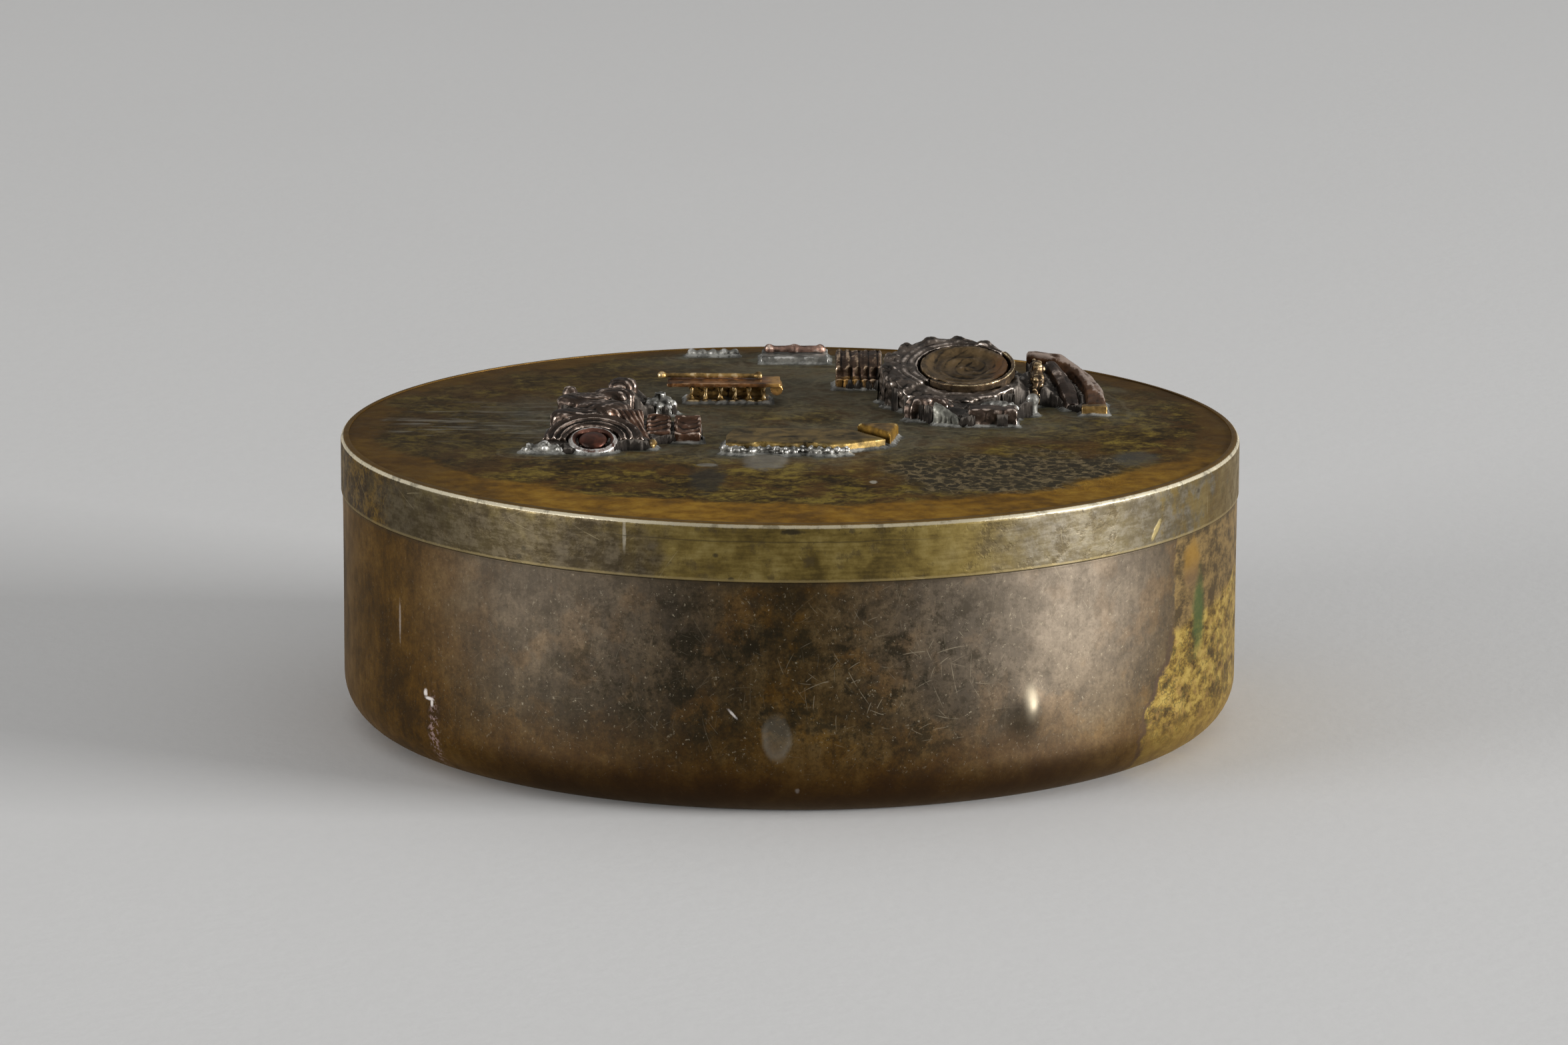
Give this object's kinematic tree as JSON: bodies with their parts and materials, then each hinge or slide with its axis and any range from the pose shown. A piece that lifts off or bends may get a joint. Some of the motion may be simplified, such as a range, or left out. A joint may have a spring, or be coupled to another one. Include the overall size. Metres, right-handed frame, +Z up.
{
  "type": "round lidded box",
  "caption": "Round metal box with a lift-off lid that slides over an inner collar; small cast and soldered mounts in copper, gilt and silver finish stand on the flat lid.",
  "frame": {"origin": "centre of the flat base, on the surface that the box stands on", "axes": "+Z up along the box's axis; -Y is the front that the picture shows; +X is its right"},
  "size_m": [0.115, 0.115, 0.0445],
  "materials": {
    "body_bronze": "brown patina, satin",
    "collar_brass": "dull brass",
    "band_brass": "dull, tarnished brass",
    "lid_patina": "mottled olive and brown patina",
    "plaque_brass": "worn brass",
    "copper": "aged copper",
    "dark_copper": "dark patinated copper",
    "gilt": "bright gilding",
    "silver": "grey solder and silver"
  },
  "bodies": {
    "box": {"body_shell": "body_bronze", "neck_collar": "collar_brass"},
    "lid": {"lid_band": "band_brass", "lid_disc": "lid_patina", "volute_boss": "copper", "volute_ring": "silver", "volute_hood": "dark_copper", "volute_toe": "dark_copper", "rib_fan": "dark_copper", "foot_beads": "gilt", "panel_left": "copper", "panel_right": "copper", "tiered_leaf": "dark_copper", "petal": "dark_copper", "bud": "dark_copper", "rosette": "silver", "gallery_row": "silver", "gallery_shelf": "copper", "gallery_rod": "gilt", "plaque_plate": "plaque_brass", "plaque_beading": "silver", "plaque_corner": "gilt", "dish_bowl": "copper", "dish_crescent": "gilt", "dish_mane": "dark_copper", "bib": "dark_copper", "front_block": "dark_copper", "silver_tuft": "silver", "silver_leaf": "silver", "gilt_scroll": "gilt", "silver_bead": "silver", "swept_leaf": "dark_copper", "wing": "copper", "wing_end": "gilt", "fluted_block": "copper", "silver_bar": "silver", "bar_plate": "silver", "copper_bar": "copper"}
  },
  "joints": [
    {"name": "lid_lift", "type": "slide", "parent": "box", "child": "lid", "axis": [0, 0, 1], "range_m": [0, 0.06]}
  ]
}
